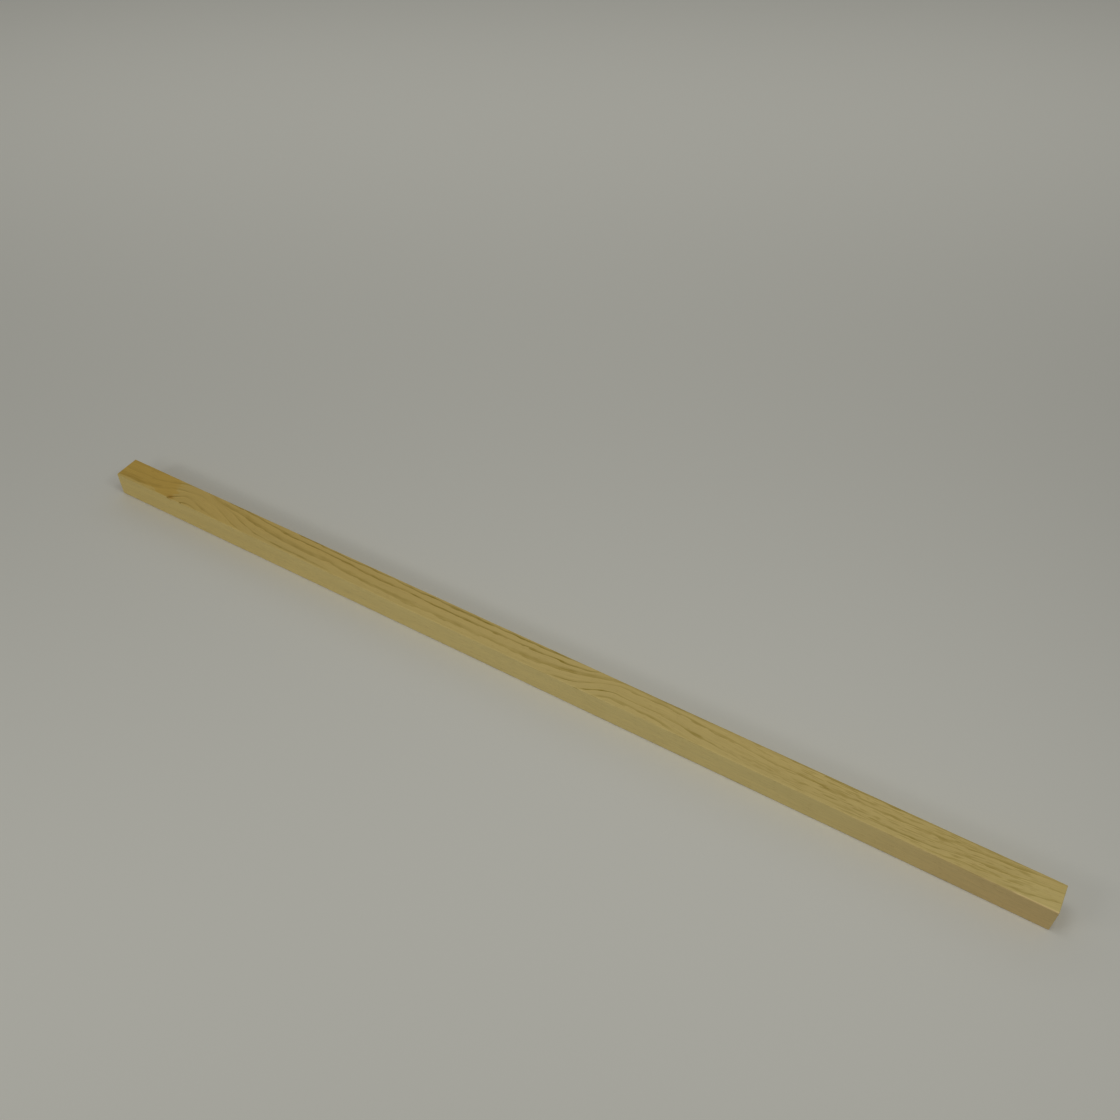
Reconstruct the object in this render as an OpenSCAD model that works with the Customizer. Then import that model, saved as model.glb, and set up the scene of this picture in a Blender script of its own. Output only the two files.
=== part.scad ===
// Square timber strip: one length of planed softwood, square in section,
// with lightly eased long edges and both ends cut square.
// It lies along X, with the middle of its lower face at the origin and +Z up.

/* [Section] */
// Side of the planed square section, face to face
side = 25; // [10:0.5:60]
// Radius of the eased long edges
arris_r = 0.8; // [0.2:0.1:4]

/* [Length] */
// Length between the two sawn ends
strip_length = 900; // [200:10:3000]

/* [Hidden] */

arc_fn = 32;                        // facets of a full turn where an edge is eased
pine = [0.87, 0.74, 0.46];          // planed, unfinished pine
arris_centre = side / 2 - arris_r;  // from the middle of the section to the centre of an arris

// The end view: flat faces that run tangent into four quarter-round arrises.
module planed_section() {
    square([side, 2 * arris_centre], center = true);
    square([2 * arris_centre, side], center = true);
    for (across = [-1, 1], up = [-1, 1])
        translate([across * arris_centre, up * arris_centre])
            circle(r = arris_r, $fn = arc_fn);
}

// The section drawn out along the grain, standing on the level z = 0.
module timber_strip() {
    color(pine)
        translate([0, 0, side / 2])
            rotate([90, 0, 90])
                linear_extrude(height = strip_length, center = true)
                    planed_section();
}

timber_strip();
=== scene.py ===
"""Square timber strip: planed pine, with its growth rings, whorls and saw-cut ends."""

import math

import bpy
import numpy as np
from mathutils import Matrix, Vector


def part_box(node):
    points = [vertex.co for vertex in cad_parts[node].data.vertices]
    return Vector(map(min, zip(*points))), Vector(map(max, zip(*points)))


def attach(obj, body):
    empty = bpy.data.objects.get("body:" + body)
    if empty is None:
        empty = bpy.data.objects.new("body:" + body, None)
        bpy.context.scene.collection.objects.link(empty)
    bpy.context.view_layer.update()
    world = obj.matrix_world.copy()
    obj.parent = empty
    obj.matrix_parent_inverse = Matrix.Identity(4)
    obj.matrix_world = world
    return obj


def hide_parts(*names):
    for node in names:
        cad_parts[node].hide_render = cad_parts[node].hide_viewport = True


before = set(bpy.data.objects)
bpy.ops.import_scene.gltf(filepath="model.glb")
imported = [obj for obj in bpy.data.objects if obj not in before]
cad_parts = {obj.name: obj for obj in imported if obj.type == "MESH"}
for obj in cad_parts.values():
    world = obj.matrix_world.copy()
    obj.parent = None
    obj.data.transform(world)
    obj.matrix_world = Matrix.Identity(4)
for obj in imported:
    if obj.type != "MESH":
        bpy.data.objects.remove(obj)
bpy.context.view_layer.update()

MM = 0.001
LOW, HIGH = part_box("timber_strip")
LENGTH = (HIGH.x - LOW.x) / MM
SIDE = (HIGH.z - LOW.z) / MM
HALF = SIDE / 2

# ---------------------------------------------------------------- the growth rings
# Where each ring's dark latewood ends on the upper face, as (distance from the left end,
# distance in from the back arris, darkness). Distances are in mm. A darkness of 1 is
# ordinary latewood. Values outside the face carry the run on.

RINGS = {
    0: (
        (0, -10, 0.5), (60, -16, 0.5), (160, -2.5, 0.8), (190, 0.6, 0.9), (222, 1.8, 0.8),
        (262, 3.1, 0.9), (300, 2.3, 0.6), (330, 3, 1.0), (345, 3.6, 0.9), (450, 3.3, 1.0),
        (475, 2.4, 0.9), (500, 1.6, 0.6), (516, 0, 0.3), (540, -4, 0.5), (900, -9, 0.5),
    ),
    1: (
        (0, -3, 0.3), (60, -10, 0.5), (95, -4, 0.8), (110, 0.8, 0.9), (150, 2.1, 0.7), (185, 5.8, 0.7),
        (222, 7.4, 1.0), (258, 7.3, 0.9), (303, 9.6, 0.8), (331, 8.8, 0.8), (358, 9.8, 1.1),
        (450, 9, 0.7), (470, 8.3, 1.0), (500, 6.9, 0.9), (514, 5, 0.6), (523, 0, 0.5), (540, -2, 0.5),
        (900, -5, 0.5),
    ),
    2: (
        (0, 4, 0.15), (40, 3, 0.15), (60, -2, 0.3), (90, -4, 0.3), (105, 3, 0.3), (114, 5.8, 0.5),
        (147, 8.5, 0.4), (155, 10.2, 0.7), (166, 12.4, 0.6), (196, 15.2, 0.5), (222, 16.4, 0.5),
        (250, 16.1, 0.4), (274, 18.2, 0.6), (303, 19.2, 0.5), (355, 19.6, 0.3), (366, 19.4, 0.5),
        (428, 18.5, 0.4), (450, 18.7, 0.4), (469, 18, 0.5), (487, 16.1, 0.9), (503, 12.9, 0.7),
        (522, 8.2, 0.5), (537, 3.3, 0.4), (546, 0.9, 0.6), (606, 1.5, 0.7), (642, 1, 0.3),
        (719, 1.6, 0.7), (775, 1.7, 0.6), (800, 1.8, 0.3), (858, 1.5, 0.5), (900, -0.6, 0.4),
    ),
    3: (
        (0, 12.4, 0.2), (44, 11.4, 0.25), (56, 6.5, 0.2), (66, 3.4, 0.4), (78, 1.4, 0.4), (92, 0, 0.1),
        (105, 4, 0.1), (125, 8.8, 0.1), (141, 13, 0.4), (160, 18.7, 0.5), (169, 20.8, 0.5),
        (192, 22.7, 0.6), (222, 22.9, 0.7), (242, 23.6, 0.5), (262, 25.9, 0.4), (300, 28.5, 0.3),
        (450, 28.5, 0.3), (478, 26, 0.6), (489, 24.2, 0.8), (503, 21.5, 0.9), (516, 17, 0.5),
        (528, 11, 0.2), (541, 5.9, 0.3), (583, 5.2, 0.6), (600, 6, 0.5), (611, 6.9, 0.6),
        (659, 10, 0.3), (678, 11, 0.4), (712, 11.3, 0.7), (756, 11.6, 0.5), (798, 9.7, 0.55),
        (831, 7.6, 0.45), (865, 4.7, 0.6), (900, 1.2, 0.2),
    ),
    4: (
        (0, 22.8, 0.4), (33, 22.6, 0.5), (42, 22, 0.3), (50, 19, 0.2), (60, 14.5, 0.2), (66, 11.5, 0.5),
        (75, 9.7, 0.5), (92, 8.3, 0.1), (110, 10.8, 0.1), (128, 16.1, 0.2), (142, 22.5, 0.4),
        (150, 24.1, 1.0), (162, 26.5, 0.5), (262, 33, 0.4), (450, 36, 0.4), (510, 26.4, 0.8),
        (518, 23.9, 1.2), (528, 18, 1.3), (535, 15.2, 1.1), (541, 13.7, 0.8), (559, 14.6, 0.4),
        (584, 14.4, 0.5), (600, 15.7, 0.6), (611, 17.5, 0.7), (661, 20.9, 0.2), (762, 21.2, 0.4),
        (784, 20.7, 0.6), (803, 19.5, 0.7), (819, 17.1, 0.7), (872, 11.6, 0.6), (900, 8.4, 0.3),
    ),
    5: (
        (0, 31, 0.4), (40, 31, 0.4), (60, 28.1, 0.6), (66, 25.1, 1.3), (71, 21.3, 1.3), (75, 17.3, 0.7),
        (80, 15.5, 0.4), (90, 15.6, 0.1), (96, 18.8, 0.2), (106, 20.9, 0.35), (117, 22.8, 0.3),
        (127, 25.2, 0.2), (140, 29, 0.4), (192, 37, 0.4), (450, 44, 0.4), (510, 34, 0.6),
        (525, 27, 0.7), (533, 23.9, 0.6), (537, 21.4, 0.5), (545, 20.2, 0.3), (580, 20.7, 0.6),
        (589, 22, 0.4), (606, 25.2, 0.3), (661, 29, 0.4), (800, 28.7, 0.4), (850, 24.7, 0.4),
        (872, 22.4, 0.7), (900, 17.4, 0.2),
    ),
    6: (
        (0, 38, 0.5), (60, 35, 0.5), (72, 31, 0.9), (78, 25.4, 1.1), (83, 22.9, 0.9), (95, 23.2, 0.3),
        (101, 25.2, 0.4), (127, 32, 0.4), (450, 52, 0.4), (525, 36, 0.5), (537, 30, 0.5),
        (580, 28.4, 0.5), (661, 37, 0.4), (800, 37, 0.4), (872, 31, 0.4), (900, 26, 0.4),
    ),
}
FIRST_RING, LAST_RING = min(RINGS) - 3, max(RINGS) + 3
OUTER_SPACING = 7.5                # mm between the rings beyond those that are listed
LEAST_SPACING = 1.5                # mm, so that no two rings meet inside the wood
OUTER_DARKNESS = 0.5               # latewood darkness before the first ring
# mm of latewood at half its darkness, in the listed rings and in the others
LATE_WIDTH = {0: 1.1, 1: 1.1, 2: 2.6, 3: 1.1, 4: 0.9, 5: 1.2, 6: 1.1}
OTHER_WIDTH = 1.0
EARLY_SHARE, LATE_SHARE = 0.05, 0.5  # part of a ring over which it takes on its own darkness
ROUNDING = (-4.0, -2.0, 0.0, 2.0, 4.0)  # mm along the strip over which a line's corners round off
CALM = tuple(range(-120, 121, 20))  # the same lines, averaged over this reach, away from a whorl
WHORL_DEPTH = 3.0                  # mm under the upper face over which the swirls fade out
PITH_BEHIND, PITH_HEIGHT = 70.0, 6.0  # mm behind the back face and above the lower face


def smooth(a, b, value):
    """0 at a, 1 at b and an even curve between them. With a above b it falls instead."""
    t = np.clip((value - a) / (b - a), 0, 1)
    return t * t * (3 - 2 * t)


def ring_line(number, along, reach):
    """Place and darkness of one ring on the upper face, averaged over the reach."""
    inside = min(max(number, min(RINGS)), max(RINGS))
    s, place, dark = np.array(RINGS[inside], float).T
    beyond = (number - inside) * OUTER_SPACING
    at = np.mean([np.interp(along + step, s, place) for step in reach], axis=0)
    return at + beyond, np.interp(along, s, dark)


def growth(along, back, height):
    """The ring coordinate, latewood darkness and latewood width at places in mm."""
    depth = SIDE - height
    swirl = np.exp(-depth / WHORL_DEPTH)
    radius_here = (back + PITH_BEHIND) ** 2 + (height - PITH_HEIGHT) ** 2
    level = np.sqrt(radius_here - (SIDE - PITH_HEIGHT) ** 2) - PITH_BEHIND
    ring = np.full(along.shape, float(FIRST_RING))
    dark = np.full(along.shape, OUTER_DARKNESS)
    width = np.full(along.shape, OTHER_WIDTH / OUTER_SPACING)
    before = None
    for number in range(FIRST_RING, LAST_RING + 1):
        near, darkness = ring_line(number, along, ROUNDING)
        calm, _ = ring_line(number, along, CALM)
        line = swirl * near + (1 - swirl) * calm
        if before is not None:
            line = np.maximum(line, before + LEAST_SPACING)
            gap = line - before
            part = np.clip((level - before) / gap, 0, 1)
            ring = ring + part
            taken = smooth(EARLY_SHARE, LATE_SHARE, part)
            late = LATE_WIDTH.get(number, OTHER_WIDTH) / gap
            dark = dark + (darkness - dark) * taken
            width = width + (late - width) * taken
        before = line
    return ring, dark, width


# ---------------------------------------------------------------- the mesh

ARRIS = 0.8                        # mm, as the CAD bar
WORN_ARRIS = 0.35                  # how far the arris swells and thins along the strip
ACROSS = 40                        # columns over the flat of each face
HALF_ARC = 2                       # columns over half an arris
STEP, FINE_STEP = 2.6, 1.2         # mm between rows, in plain wood and at a whorl
WHORLS = ((55.0, 105.0), (485.0, 550.0))
WHORL_MARGIN = 12                  # mm over which the rows close up beside a whorl
STATION_SAMPLES = 9001
END_EASE = 0.25                    # mm, the broken edge round each saw-cut end
RELIEF = 0.03                      # mm that earlywood lies below latewood
SAW_RELIEF = 0.02                  # mm, half the height of the saw ridges on the ends
SAW_SLANT = 0.4                    # how far the ridges lean for each mm up
SAW_RIDGES = (2.6, 0.5)            # their spacing in mm and their phase
SHARP_ANGLE = math.radians(35)     # edges that turn by more than this stay sharp
SIDES = ("front", "top", "back", "bottom")
OUTWARD = {"front": (-1, 0), "top": (0, 1), "back": (1, 0), "bottom": (0, -1)}
COLUMNS = ACROSS + 2 * HALF_ARC


def wander(value, *waves):
    """A smooth uneven line: the sum of sines given as (length, phase)."""
    return sum(np.sin(2 * math.pi * value / length + phase) for length, phase in waves) / len(waves)


def stations():
    """Distances along the strip of the mesh's rows, closer together at the whorls."""
    fine = np.linspace(END_EASE, LENGTH - END_EASE, STATION_SAMPLES)
    density = np.full(fine.shape, 1 / STEP)
    for start, end in WHORLS:
        inside = smooth(start - WHORL_MARGIN, start, fine)
        inside = inside * (1 - smooth(end, end + WHORL_MARGIN, fine))
        density += inside * (1 / FINE_STEP - 1 / STEP)
    total = np.concatenate([[0], np.cumsum((density[1:] + density[:-1]) / 2 * np.diff(fine))])
    rows = np.interp(np.linspace(0, total[-1], round(total[-1]) + 1), total, fine)
    return np.concatenate([[0], rows, [LENGTH]])


def side_profile(half, arris):
    """One face with half of the arris at each side, as (across, outward) from the centre."""
    flat = half - arris
    rise = np.linspace(0, math.pi / 4, HALF_ARC + 1)[:, None]
    start = (-flat - arris * np.sin(rise[::-1]), flat + arris * np.cos(rise[::-1]))
    end = (flat + arris * np.sin(rise), flat + arris * np.cos(rise))
    middle = np.linspace(0, 1, ACROSS + 1)[1:-1, None] * 2 * flat - flat
    across = np.concatenate([start[0], middle, end[0]])
    outward = np.concatenate([start[1], np.broadcast_to(flat + arris, middle.shape), end[1]])
    return across, outward


def loops(rows):
    """The section's outline at each row: y and z from the centre line, columns going round."""
    ease = np.minimum(np.minimum(rows, LENGTH - rows) - END_EASE, 0)
    half = HALF + ease
    arris = ARRIS + WORN_ARRIS * (0.5 * wander(rows, (190, 0.4), (83, 2.0), (41, 1.1)) - 0.2)
    ys, zs = [], []
    for side in SIDES:
        across, outward = side_profile(half, arris)
        out_y, out_z = OUTWARD[side]
        along_y, along_z = out_z, -out_y
        ys.append((outward * out_y + across * along_y)[:-1])
        zs.append((outward * out_z + across * along_z)[:-1])
    return np.concatenate(ys).T, np.concatenate(zs).T


def end_grid(y, z):
    """Fills an end's outline with a grid blended from its four sides."""
    n = COLUMNS
    rim = np.stack([y, z], axis=1)
    first, second = rim[:n + 1], rim[n:2 * n + 1]
    third, fourth = rim[2 * n:3 * n + 1][::-1], np.concatenate([rim[3 * n:], rim[:1]])[::-1]
    u = np.linspace(0, 1, n + 1)[:, None, None]
    v = np.linspace(0, 1, n + 1)[None, :, None]
    sides = (1 - v) * first[:, None] + v * third[:, None] + (1 - u) * fourth[None] + u * second[None]
    low_corners = (1 - v) * first[0] + v * third[0]
    high_corners = (1 - v) * first[-1] + v * third[-1]
    corners = (1 - u) * low_corners + u * high_corners
    return sides - corners


def build_strip():
    """The strip's points from its centre line in mm, its four-sided faces and its rows."""
    rows = stations()
    y, z = loops(rows)
    around = y.shape[1]
    along = np.repeat(rows[:, None], around, axis=1)
    points = [np.stack([along, y, z], axis=-1).reshape(-1, 3)]
    index = np.arange(len(rows) * around).reshape(len(rows), around)
    here, after = index[:-1], index[1:]
    side_quads = np.stack([here, after, np.roll(after, -1, 1), np.roll(here, -1, 1)], axis=-1)
    quads = [side_quads.reshape(-1, 4)]
    start = len(rows) * around
    for row, inwards in ((0, 1), (len(rows) - 1, -1)):
        grid = end_grid(y[row], z[row])
        inner = grid[1:-1, 1:-1]
        n = COLUMNS
        number = np.empty((n + 1, n + 1), int)
        rim = index[row]
        number[:, 0] = rim[:n + 1]
        number[-1, :] = rim[n:2 * n + 1]
        number[:, -1] = rim[2 * n:3 * n + 1][::-1]
        number[0, :] = np.append(rim[3 * n:], rim[0])[::-1]
        number[1:-1, 1:-1] = start + np.arange((n - 1) ** 2).reshape(n - 1, n - 1)
        start += (n - 1) ** 2
        saw = SAW_RELIEF * (1 + wander(inner[..., 0] + SAW_SLANT * inner[..., 1], SAW_RIDGES))
        flat_end = np.full(inner.shape[:2], rows[row]) + inwards * saw
        points.append(np.concatenate([flat_end[..., None], inner], axis=-1).reshape(-1, 3))
        a, b, c, d = number[:-1, :-1], number[1:, :-1], number[1:, 1:], number[:-1, 1:]
        quad = np.stack([a, b, c, d] if inwards > 0 else [d, c, b, a], axis=-1)
        quads.append(quad.reshape(-1, 4))
    return np.concatenate(points), np.concatenate(quads), rows


# Where the looks change on the strip. Each pair is a start and an end in mm, for smooth():
# "along" from the left end, "in" from the back arris and "under" the upper face.
FACE_EDGE = (0.93, 0.97)           # share of the half side where a point counts as on that face
FRONT_UNDER = (0.2, 1.2)           # the front face is plain from here down
FRONT_PLAIN, BACK_PLAIN, RIM_PLAIN = 0.95, 0.6, 0.85  # share of the rings that each one hides
RIM_IN, RIM_UNDER, RIM_ALONG = (22.2, 24.2), (0.4, 0.1), (80, 110)  # front rim of the upper face
FRONT_IN = (24.2, 25)              # the front face, for its tints
RESIN_END, RESIN_SLANT = 64.0, 0.35  # the resinous stretch at the left end of the upper face
RESIN_RING = 4                     # the ring that stops it, and one ring more further along
RESIN_RING_ALONG, RESIN_RING_BLUR = (42, 56), 0.06
RESIN_STOP = 90                    # mm that the resin is held back beyond that ring
BROAD_RINGS, BROADER = (3.2, 3.6), 3.5  # rings whose latewood is broad in the resin, how much more
HAZE_LEAST, HAZE_MORE, HAZE_ALONG = 0.12, 0.45, (100, 560)  # warm cast of the upper face
HAZE_LOSS, HAZE_IN, HAZE_LOSS_ALONG = 0.4, (8, 22), (120, 200)
FRONT_WARM, FRONT_WARM_ALONG = 0.25, (0, 480)
TAN_ALONG = (690, 890)
FLECKS_ALONG = (610.0, 720.0)      # broken dark flecks come in towards the right end
FLECKS_LOSS, FLECKS_LOSS_ALONG = 0.8, (866, 890)
# Near the right end, away from the back arris, the strip is spared the painted shade and so reads
# lighter.
LIGHTER_PATCH_ALONG, LIGHTER_PATCH_IN = (845, 885), (0, 12)
HIGHLIGHT_IN, HIGHLIGHT_UNDER, HIGHLIGHT_ALONG = (23.9, 24.5), (1.0, 0.4), (866, 870)  # the painted highlight on the front arris near the right end
PIN_KNOT = (68.0, 23.3)            # along and in
PIN_KNOT_REACH = (3.2, 2.2)        # mm along the strip and across it
END_SKIN = 0.1                     # mm from an end within which a point is on its face


def shown_rings(along, across, under):
    """How much of the rings shows: less on the front and back faces, which lie along them."""
    facing = smooth(*FACE_EDGE, -across / HALF) * smooth(*FRONT_UNDER, under)
    rim = smooth(*RIM_IN, HALF - across) * smooth(*RIM_UNDER, under) * smooth(*RIM_ALONG, along)
    facing = np.maximum(facing, RIM_PLAIN * rim)
    behind = smooth(*FACE_EDGE, across / HALF)
    return 1 - FRONT_PLAIN * facing - BACK_PLAIN * behind


def point_values(along, back, under, growth_here, shown):
    """What the material reads at each point of the mesh, by attribute name."""
    ring, dark, width = growth_here
    front = smooth(*FRONT_IN, back)
    haze = (HAZE_LEAST + HAZE_MORE * (1 - smooth(*HAZE_ALONG, along))) * (1 - front)
    haze *= 1 - HAZE_LOSS * smooth(*HAZE_IN, back) * smooth(*HAZE_LOSS_ALONG, along)
    edge = RESIN_RING + smooth(*RESIN_RING_ALONG, along)
    stop = np.maximum(smooth(edge - RESIN_RING_BLUR, edge, ring), front)
    broad = smooth(*BROAD_RINGS, ring) * (1 - smooth(*RESIN_RING_ALONG, along))
    flecks_kept = 1 - FLECKS_LOSS * smooth(*FLECKS_LOSS_ALONG, along)
    lighter_patch = smooth(*LIGHTER_PATCH_ALONG, along) * smooth(*LIGHTER_PATCH_IN, back)
    knot_along = np.exp(-((along - PIN_KNOT[0]) / PIN_KNOT_REACH[0]) ** 2)
    knot_across = np.exp(-((back - PIN_KNOT[1]) ** 2 + under ** 2) / PIN_KNOT_REACH[1] ** 2)
    return {
        "ring": ring,
        "late": dark,
        "late_width": width * (1 + BROADER * broad),
        "shown": shown,
        "flecked": smooth(*FLECKS_ALONG, along) * flecks_kept,
        "resin": along - RESIN_END - RESIN_SLANT * back + RESIN_STOP * stop,
        "warm": haze + FRONT_WARM * front * (1 - smooth(*FRONT_WARM_ALONG, along)),
        "tan": smooth(*TAN_ALONG, along) * front,
        # painted shade on every face but the front, partly the front face's plainer wood
        "off_front_shade": (1 - front) * (1 - lighter_patch),
        "knot": knot_along * knot_across,
        # painted highlight on the front arris near the right end
        "arris_highlight": smooth(*HIGHLIGHT_IN, back) * smooth(*HIGHLIGHT_UNDER, under) * smooth(*HIGHLIGHT_ALONG, along),
        "end": ((along <= END_SKIN) | (along >= LENGTH - END_SKIN)).astype(float),
    }


def with_relief(local, side_points, ring, shown):
    """Lowers the four faces to leave the latewood standing. The end faces stay as they are."""
    along = local[:, 0]
    outward = np.zeros((len(local), 2))
    outward[:side_points] = local[:side_points, 1:]
    reach = np.maximum(np.abs(outward).max(1, keepdims=True), 1e-9)
    standing = RELIEF * 0.5 * (1 + np.cos(2 * math.pi * ring)) * shown
    standing *= (along > END_EASE) & (along < LENGTH - END_EASE)
    lowered = local.copy()
    lowered[:, 1:] -= outward / reach * (RELIEF - standing)[:, None] * (reach > 1)
    return lowered


def strip_mesh(local, quads):
    """The mesh at its place in the frame, from points in mm round the centre line."""
    world = np.empty_like(local)
    world[:, 0] = LOW.x + local[:, 0] * MM
    world[:, 1] = (LOW.y + HIGH.y) / 2 + local[:, 1] * MM
    world[:, 2] = (LOW.z + HIGH.z) / 2 + local[:, 2] * MM
    mesh = bpy.data.meshes.new("square_timber_strip")
    mesh.vertices.add(len(world))
    mesh.vertices.foreach_set("co", world.ravel())
    mesh.loops.add(quads.size)
    mesh.loops.foreach_set("vertex_index", quads.ravel())
    mesh.polygons.add(len(quads))
    mesh.polygons.foreach_set("loop_start", np.arange(0, quads.size, 4))
    mesh.update(calc_edges=True)
    mesh.validate()
    mesh.shade_smooth()
    mesh.set_sharp_from_angle(angle=SHARP_ANGLE)
    return mesh


def strip_object():
    local, quads, rows = build_strip()
    along, across = local[:, 0], local[:, 1]
    back = HALF - across
    height = HALF + local[:, 2]
    under = SIDE - height
    growth_here = growth(along, back, height)
    shown = shown_rings(along, across, under)
    side_points = len(rows) * 4 * COLUMNS
    mesh = strip_mesh(with_relief(local, side_points, growth_here[0], shown), quads)
    for name, values in point_values(along, back, under, growth_here, shown).items():
        attribute = mesh.attributes.new(name, "FLOAT", "POINT")
        attribute.data.foreach_set("value", values.astype(np.float32))
    add_bake_map(mesh, quads, local, rows)
    strip = bpy.data.objects.new("square_timber_strip", mesh)
    bpy.context.scene.collection.objects.link(strip)
    return strip


BAKE_BAND, BAKE_GAP = 0.1075, 0.002  # height of one length in the bake map, and the space kept


def add_bake_map(mesh, quads, local, rows):
    """A UV map that lays the four faces out in two lengths each, with the ends in the last band."""
    band, gap = BAKE_BAND, BAKE_GAP
    around = 4 * COLUMNS
    side_quads = (len(rows) - 1) * around
    half_row = int(np.searchsorted(rows, LENGTH / 2))
    row, column = np.divmod(np.arange(side_quads), around)
    side, across = np.divmod(column, COLUMNS)
    second = row >= half_row
    line = 2 * side + second
    begin = np.where(second, rows[half_row], 0.0)
    finish = np.where(second, LENGTH, rows[half_row])
    uv = np.zeros((len(quads), 4, 2))
    for corner, (step_row, step_across) in enumerate(((0, 0), (1, 0), (1, 1), (0, 1))):
        u = (rows[row + step_row] - begin) / (finish - begin)
        v = (across + step_across) / COLUMNS
        uv[:side_quads, corner, 0] = gap + u * (1 - 2 * gap)
        uv[:side_quads, corner, 1] = line * band + gap + v * (band - 2 * gap)
    box = 1 - 8 * band - 2 * gap
    end_quads = (len(quads) - side_quads) // 2
    for end in range(2):
        part = slice(side_quads + end * end_quads, side_quads + (end + 1) * end_quads)
        places = local[quads[part]][..., 1:] / SIDE + 0.5
        turned = places[..., 0] if end else 1 - places[..., 0]
        uv[part, :, 0] = gap + end * (box + 2 * gap) + turned * box
        uv[part, :, 1] = 8 * band + gap + places[..., 1] * box
    layer = mesh.uv_layers.new(name="OFBake")
    layer.data.foreach_set("uv", uv.astype(np.float32).ravel())


# ---------------------------------------------------------------- the pine material


class Graph:
    """Short calls for building a material's nodes."""

    def __init__(self, name):
        self.material = bpy.data.materials.new(name)
        self.material.use_nodes = True
        self.tree = self.material.node_tree
        self.shader = self.tree.nodes["Principled BSDF"]

    def node(self, kind, inputs=(), **settings):
        made = self.tree.nodes.new(kind)
        for key, value in settings.items():
            setattr(made, key, value)
        for socket, value in dict(inputs).items():
            self.give(made.inputs[socket], value)
        return made

    def give(self, socket, value):
        if isinstance(value, bpy.types.NodeSocket):
            self.tree.links.new(value, socket)
        else:
            socket.default_value = value

    def math(self, operation, a, b=0.0, c=0.0, clamp=False):
        made = self.node("ShaderNodeMath", {0: a, 1: b, 2: c}, operation=operation, use_clamp=clamp)
        return made.outputs[0]

    def sway(self, noise, amount, base):
        """Moves the base up and down by half the amount, as the noise goes from 0 to 1."""
        return self.math("MULTIPLY_ADD", self.math("SUBTRACT", noise, 0.5), amount, base)

    def attribute(self, name):
        return self.node("ShaderNodeAttribute", attribute_name=name).outputs["Fac"]

    def vector(self, x, y, z):
        return self.node("ShaderNodeCombineXYZ", {"X": x, "Y": y, "Z": z}).outputs[0]

    def noise(self, vector, scale=1.0, detail=2.0, roughness=0.5):
        inputs = {"Vector": vector, "Scale": scale, "Detail": detail, "Roughness": roughness}
        return self.node("ShaderNodeTexNoise", inputs).outputs["Fac"]

    def span(self, value, low, high, to_low=0.0, to_high=1.0, kind="SMOOTHSTEP"):
        inputs = {"Value": value, "From Min": low, "From Max": high}
        inputs.update({"To Min": to_low, "To Max": to_high})
        return self.node("ShaderNodeMapRange", inputs, interpolation_type=kind).outputs["Result"]

    def blend(self, factor, a, b, kind="MIX"):
        made = self.node("ShaderNodeMix", data_type="RGBA", blend_type=kind, clamp_factor=True)
        self.give(made.inputs[0], factor)
        self.give(made.inputs[6], a)
        self.give(made.inputs[7], b)
        return made.outputs[2]


EARLYWOOD = (0.828, 0.667, 0.280, 1)
LATEWOOD = (0.41, 0.30, 0.028, 1)
LATEWOOD_SHARE = 0.72              # share of that colour where a ring is darkest
WARM_TINT = (0.94, 0.785, 0.40, 1)
# Darkens every face but the front, so the front face reads lighter: partly the front face's plainer
# wood, partly painted light.
OFF_FRONT_SHADE_TINT = (0.925, 0.90, 0.86, 1)
TAN_TINT = (0.92, 0.85, 0.90, 1)
CANAL_TINT = (0.62, 0.50, 0.36, 1)
KNOT_TINT = (0.73, 0.57, 0.25, 1)
# Painted highlight: lightens the front arris near the right end, where light catches it.
ARRIS_HIGHLIGHT_TINT = (1.26, 1.26, 1.40, 1)
END_TINT = (0.80, 0.72, 0.62, 1)

# Noise that follows the grain: mm along the fibres, across them and, where it differs, up.
FIBRES, STREAKS, CLOUDS = (16, 0.5), (70, 1.6), (160, 9.0)
WAVER, DASHES, FLECKS = (16, 3.0, 14), (11, 1.6), (13, 1.1)
CANALS, FINGERS = (6, 0.3), (30, 1.7)
RING_ACROSS = 8.0                  # mm that one ring counts for across the fibres
PER_METRE = 1000                   # mm

WAVER_SWAY, FIBRE_SWAY = 0.5, 0.12  # how far a ring line strays, in rings
LATE_RISE = (1.0, 0.25)            # a ring darkens between these shares of twice its latewood
DASH_DARKNESS = (0.5, 1.45)        # a ring line at the dashes' faintest and darkest
FALSE_RING = 0.42                  # how far through a ring its faint false ring lies
FALSE_RING_EDGE = (0.09, 0.02)     # how far from it, in rings, its line starts and is full
FALSE_RING_DARKNESS = 0.6
FLECK_DARKNESS = 0.65
SLOW_DARKENING = 0.10              # through each ring, before its latewood
RESIN_FRINGE = 24.0                # mm from tip to root of the resin's ragged edge
CANAL_DARKNESS = 0.5
FIBRE_SHADE, STREAK_SHADE, CLOUD_SHADE = 0.28, 0.16, 0.10
RAY_SHADE, SAW_SHADE = 0.18, 0.25  # on the ends only

RAYS_PER_RING, RAYS_PER_METRE = 1.2, 2600
BLADE_RADIUS = 0.11                # metres, of the saw whose marks show on the ends
SAW_LINES, SAW_LEAN = 1500, 620    # per metre across and up
SAW_SKIPS = (-30, 70)              # the same, for the breaks along each mark

ROUGH_LEAST, ROUGH_FIBRES, ROUGH_LATE, ROUGH_END = 0.50, 0.16, -0.08, 0.2
LATE_RAISED, FIBRES_RAISED, SAW_RAISED = 0.5, 0.8, 1.6  # shares of the bump's depth


def sawtooth(g, part, width):
    """Rises through each ring to the dark latewood and drops sharply at its outer edge."""
    left = g.math("SUBTRACT", 1.0, part)
    share = g.math("DIVIDE", left, g.math("MULTIPLY", width, 2.0))
    return g.span(share, *LATE_RISE)


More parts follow.
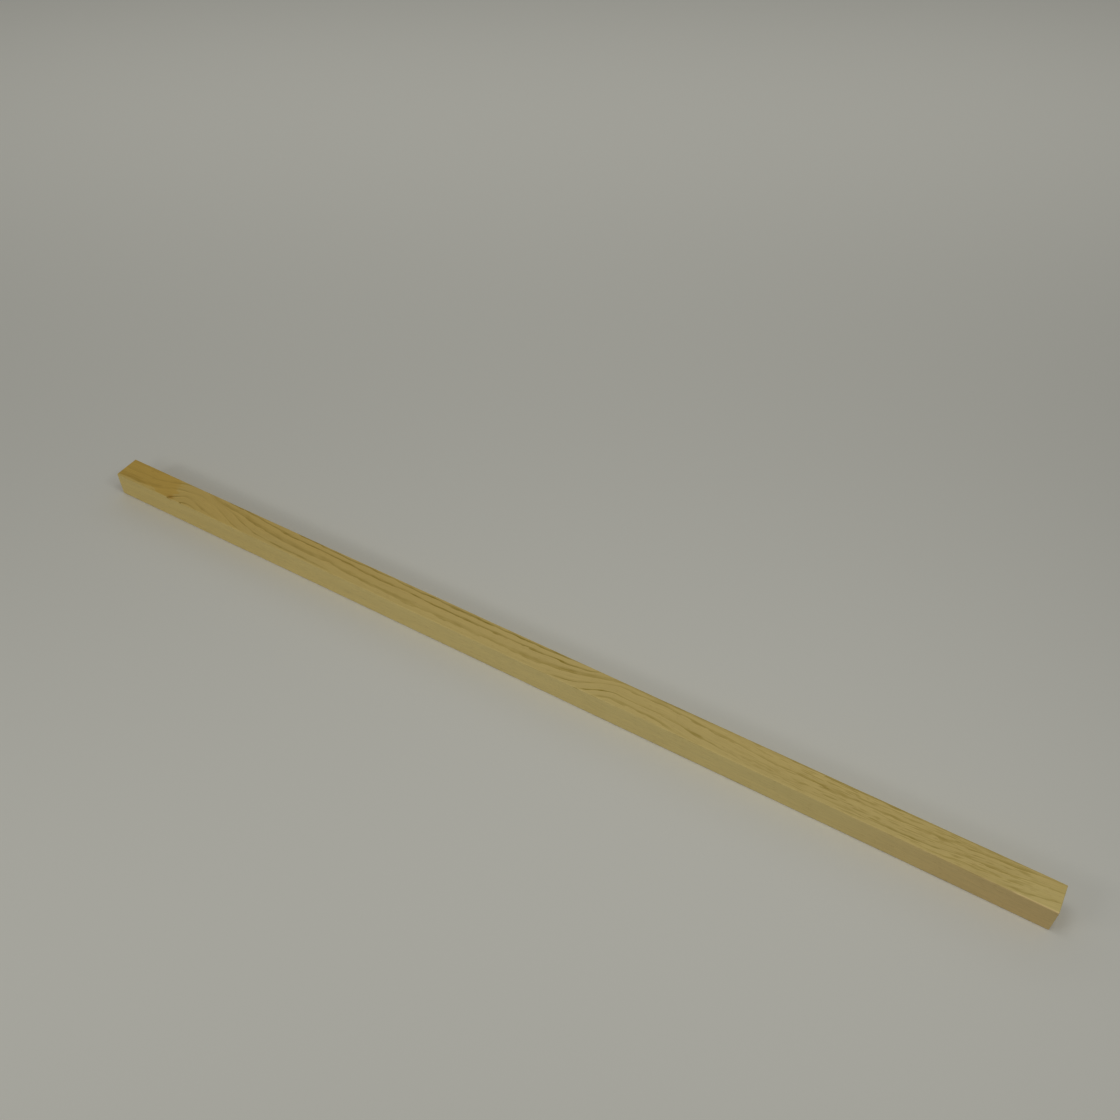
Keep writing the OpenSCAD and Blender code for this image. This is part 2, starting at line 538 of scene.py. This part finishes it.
def saw_marks(g, xyz):
    """The marks of a round blade on the sawn ends: slanted arcs with breaks along them."""
    arc = g.math("MULTIPLY", xyz["Z"], xyz["Z"])
    arc = g.math("MULTIPLY_ADD", arc, 0.5 / BLADE_RADIUS, xyz["Y"])
    across_saw = g.math("MULTIPLY_ADD", arc, SAW_LINES, g.math("MULTIPLY", xyz["Z"], SAW_LEAN))
    along_saw = g.math("MULTIPLY", xyz["Z"], SAW_SKIPS[1])
    along_saw = g.math("MULTIPLY_ADD", xyz["Y"], SAW_SKIPS[0], along_saw)
    return g.noise(g.vector(across_saw, along_saw, 0.0), detail=2.0)


def pine():
    g = Graph("pine")
    place = g.node("ShaderNodeTexCoord").outputs["Object"]
    xyz = g.node("ShaderNodeSeparateXYZ", {0: place}).outputs
    ring = g.attribute("ring")
    end = g.attribute("end")

    def grain(size, **settings):
        """Noise stretched along the fibres, which follow the rings round the whorls."""
        length, width, height = size if len(size) == 3 else (*size, size[1])
        vector = g.vector(
            g.math("MULTIPLY", xyz["X"], PER_METRE / length),
            g.math("MULTIPLY", ring, RING_ACROSS / width),
            g.math("MULTIPLY", xyz["Z"], PER_METRE / height),
        )
        return g.noise(vector, **settings)

    fibres = grain(FIBRES, detail=3.0, roughness=0.6)
    streaks = grain(STREAKS, detail=2.0)
    clouds = grain(CLOUDS, detail=1.0)
    waver = grain(WAVER, detail=1.0)
    dashes = grain(DASHES, detail=1.5)
    flecks = grain(FLECKS, detail=1.0)
    canals = grain(CANALS, detail=0.0)
    fingers = grain(FINGERS, detail=1.0)
    ray_around = g.math("MULTIPLY", ring, RAYS_PER_RING)
    ray_up = g.math("MULTIPLY", xyz["Z"], RAYS_PER_METRE)
    rays = g.noise(g.vector(0.0, ray_around, ray_up), detail=1.0)
    saw = saw_marks(g, xyz)

    # The ring lines: where they run, then how dark they are.
    shaken = g.sway(waver, WAVER_SWAY, ring)
    shaken = g.sway(fibres, FIBRE_SWAY, shaken)
    part = g.math("FRACT", shaken)
    late = g.math("MULTIPLY", sawtooth(g, part, g.attribute("late_width")), g.attribute("late"))
    late = g.math("MULTIPLY", late, g.span(dashes, 0.3, 0.7, *DASH_DARKNESS, "LINEAR"))
    off_false_ring = g.math("ABSOLUTE", g.math("SUBTRACT", part, FALSE_RING))
    false_ring = g.span(off_false_ring, *FALSE_RING_EDGE)
    false_dashes = g.span(dashes, 0.38, 0.6, 0.0, FALSE_RING_DARKNESS)
    false_ring = g.math("MULTIPLY", false_ring, false_dashes)
    broken = g.math("MULTIPLY", g.span(flecks, 0.52, 0.72), FLECK_DARKNESS)
    broken = g.math("MAXIMUM", broken, false_ring)
    late = g.math("MAXIMUM", late, g.math("MULTIPLY", broken, g.attribute("flecked")))
    late = g.math("MULTIPLY_ADD", part, SLOW_DARKENING, late)
    late = g.math("MULTIPLY", late, g.attribute("shown"))

    # The colour: the two woods, painted shade on every face but the front, the tints of each stretch
    # with a painted highlight on the front arris near the right end, then light and dark along the
    # grain.
    colour = g.blend(g.math("MULTIPLY", late, LATEWOOD_SHARE), EARLYWOOD, LATEWOOD)
    # Painted shade on every face but the front, partly the front face's plainer wood.
    colour = g.blend(g.attribute("off_front_shade"), colour, OFF_FRONT_SHADE_TINT, "MULTIPLY")
    resin = g.sway(fingers, RESIN_FRINGE, g.attribute("resin"))
    warm = g.math("MAXIMUM", g.span(resin, 2.0, -2.0), g.attribute("warm"))
    colour = g.blend(warm, colour, WARM_TINT, "MULTIPLY")
    colour = g.blend(g.attribute("tan"), colour, TAN_TINT, "MULTIPLY")
    colour = g.blend(g.attribute("knot"), colour, KNOT_TINT, "MULTIPLY")
    # A painted highlight on the front arris near the right end.
    colour = g.blend(g.attribute("arris_highlight"), colour, ARRIS_HIGHLIGHT_TINT, "MULTIPLY")
    shade = g.sway(fibres, FIBRE_SHADE, 1.0)
    shade = g.sway(streaks, STREAK_SHADE, shade)
    shade = g.sway(clouds, CLOUD_SHADE, shade)
    shade = g.sway(rays, g.math("MULTIPLY", end, RAY_SHADE), shade)
    shade = g.sway(saw, g.math("MULTIPLY", end, SAW_SHADE), shade)
    colour = g.blend(1.0, colour, g.vector(shade, shade, shade), "MULTIPLY")
    canal = g.math("MULTIPLY", g.span(canals, 0.72, 0.80), CANAL_DARKNESS)
    colour = g.blend(canal, colour, CANAL_TINT, "MULTIPLY")
    colour = g.blend(end, colour, END_TINT, "MULTIPLY")
    g.give(g.shader.inputs["Base Color"], colour)

    rough = g.math("MULTIPLY_ADD", fibres, ROUGH_FIBRES, ROUGH_LEAST)
    rough = g.math("MULTIPLY_ADD", late, ROUGH_LATE, rough)
    rough = g.math("MULTIPLY_ADD", end, ROUGH_END, rough, clamp=True)
    g.give(g.shader.inputs["Roughness"], rough)
    g.shader.inputs["Specular IOR Level"].default_value = 0.4

    raised = g.math("MULTIPLY", fibres, FIBRES_RAISED)
    raised = g.math("MULTIPLY_ADD", late, LATE_RAISED, raised)
    raised = g.math("MULTIPLY_ADD", saw, g.math("MULTIPLY", end, SAW_RAISED), raised)
    bump = g.node("ShaderNodeBump", {"Height": raised, "Strength": 0.35, "Distance": 0.0002})
    g.give(g.shader.inputs["Normal"], bump.outputs["Normal"])
    return g.material


# ---------------------------------------------------------------- floor, light and camera

FLOOR_SIZE = 12.0                  # metres
FLOOR_DROP = 0.0001                # metres that the paper lies below the strip
PAPER = (0.85, 0.85, 0.85, 1)
PAPER_TOOTH = 900.0                # noise cells per metre
PAPER_ROUGHNESS = (0.78, 0.88)
LIGHT_TINT = (1.0, 0.99, 0.885)
SURROUND = 0.189                   # strength of the even light from all round
AZIMUTH, ELEVATION = math.radians(30.46), math.radians(46.16)
AIM = Vector((-0.0342, 0.1259, 0.0))
DISTANCE = 1.0773                  # metres from the aim to the camera
LENS, SENSOR = 37.30, 36.0         # mm


def floor():
    g = Graph("paper_floor")
    place = g.node("ShaderNodeTexCoord").outputs["Object"]
    tooth = g.noise(place, PAPER_TOOTH, 3.0)
    g.shader.inputs["Base Color"].default_value = PAPER
    g.give(g.shader.inputs["Roughness"], g.span(tooth, 0.3, 0.7, *PAPER_ROUGHNESS, "LINEAR"))
    g.shader.inputs["Specular IOR Level"].default_value = 0.15
    half = FLOOR_SIZE / 2
    mesh = bpy.data.meshes.new("floor")
    corners = [(-half, -half, 0), (half, -half, 0), (half, half, 0), (-half, half, 0)]
    mesh.from_pydata(corners, [], [(0, 1, 2, 3)])
    mesh.materials.append(g.material)
    made = bpy.data.objects.new("floor", mesh)
    made.location.z = LOW.z - FLOOR_DROP
    bpy.context.scene.collection.objects.link(made)


def soft_light(name, place, target, size, power):
    data = bpy.data.lights.new(name, "AREA")
    data.shape = "RECTANGLE"
    data.size, data.size_y = size
    data.energy = power
    data.color = LIGHT_TINT
    lamp = bpy.data.objects.new(name, data)
    lamp.location = place
    lamp.rotation_euler = (Vector(target) - Vector(place)).to_track_quat("-Z", "Y").to_euler()
    lamp.visible_camera = False
    bpy.context.scene.collection.objects.link(lamp)


def surround():
    world = bpy.data.worlds.new("soft_surround")
    world.use_nodes = True
    background = world.node_tree.nodes["Background"]
    background.inputs["Color"].default_value = (*LIGHT_TINT, 1)
    background.inputs["Strength"].default_value = SURROUND
    bpy.context.scene.world = world


def camera():
    data = bpy.data.cameras.new("camera")
    data.lens = LENS
    data.sensor_width = SENSOR
    made = bpy.data.objects.new("camera", data)
    away = Vector((
        math.sin(AZIMUTH) * math.cos(ELEVATION),
        -math.cos(AZIMUTH) * math.cos(ELEVATION),
        math.sin(ELEVATION),
    ))
    made.location = AIM + away * DISTANCE
    made.rotation_euler = (-away).to_track_quat("-Z", "Y").to_euler()
    bpy.context.scene.collection.objects.link(made)
    bpy.context.scene.camera = made


strip = strip_object()
strip.data.materials.append(pine())
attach(strip, "root")
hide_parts("timber_strip")
floor()
surround()
soft_light("overhead", (0.065, -0.043, 0.85), (0.065, -0.043, 0), (0.3, 0.22), 0.54)
soft_light("right_panel", (0.494, -0.081, 0.85), (0.494, -0.081, 0), (0.3, 0.22), 1.04)
soft_light("left_panel", (-0.8, -0.81, 0.588), (-0.24, 0, 0), (0.25, 0.14), 0.77)
soft_light("front_panel", (-0.249, -0.692, 0.6), (0.04, 0, 0.1), (0.3, 0.2), 0.56)
soft_light("far_panel", (-0.52, 0.97, 0.7), (-0.56, 1.04, 0), (2.8, 0.8), 2.9)
camera()
bpy.context.scene.view_settings.view_transform = "Standard"
